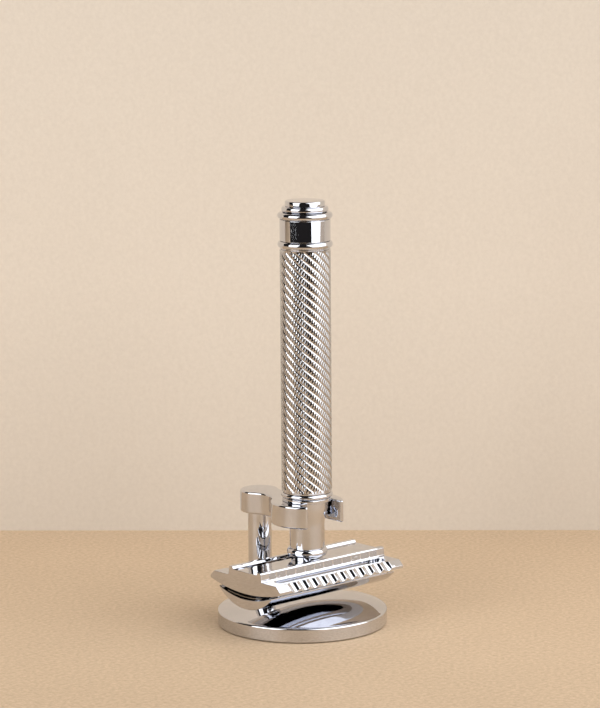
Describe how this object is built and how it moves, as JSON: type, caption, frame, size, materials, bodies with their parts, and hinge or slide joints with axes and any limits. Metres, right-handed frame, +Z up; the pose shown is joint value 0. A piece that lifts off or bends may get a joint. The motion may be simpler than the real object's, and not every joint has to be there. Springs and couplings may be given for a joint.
{
  "type": "safety razor on stand",
  "caption": "Double-edge safety razor with a knurled screw-off handle, standing head-down in the fork of a small round-based stand.",
  "frame": {"origin": "centre of the stand's underside, on the surface it stands on", "axes": "+Z up along the handle, +X along the razor's head, +Y from the razor towards the stand's post"},
  "size_m": [0.044, 0.044, 0.1103],
  "materials": {
    "chrome": "polished",
    "knurled_chrome": "polished over a fine crossed knurl",
    "steel": "plain machined",
    "blade": "ground and polished strip",
    "brass": "machined",
    "pad": "matte"
  },
  "bodies": {
    "stand": {"base_disc": "chrome", "base_pad": "pad", "base_screw": "steel", "stand_post": "chrome", "fork_stud": "steel", "fork_arm": "chrome"},
    "cap": {"top_cap": "chrome", "cap_stud": "brass", "cap_pin_left": "chrome", "cap_pin_right": "chrome"},
    "blade": {"razor_blade": "blade"},
    "guard": {"guard_plate": "chrome"},
    "handle": {"handle_neck": "chrome", "thread_insert": "brass", "neck_collar": "chrome", "grip_tube": "knurled_chrome", "tie_rod": "steel", "lower_ring": "chrome", "end_band": "chrome", "upper_ring": "chrome", "end_knob": "chrome"}
  },
  "joints": [
    {"name": "razor_lift_off", "type": "slide", "parent": "stand", "child": "cap", "axis": [0, -0.9397, 0.342], "range_m": [0, 0.06]},
    {"name": "unscrew_travel", "type": "slide", "parent": "cap", "child": "guard", "axis": [0, 0, 1], "range_m": [0, 0.0064]},
    {"name": "handle_unscrew", "type": "hinge", "parent": "guard", "child": "handle", "pos_m": [0, -0.00205, 0.0175], "axis": [0, 0, 1], "range_deg": [0, 2898]},
    {"name": "blade_lift", "type": "slide", "parent": "cap", "child": "blade", "axis": [0, 0, 1], "range_m": [0, 0.0033]}
  ],
  "couplings": [
    {"joint": "handle_unscrew", "follows": "unscrew_travel", "rad_per_m": 7854},
    {"joint": "blade_lift", "follows": "unscrew_travel", "ratio": 0.5}
  ]
}
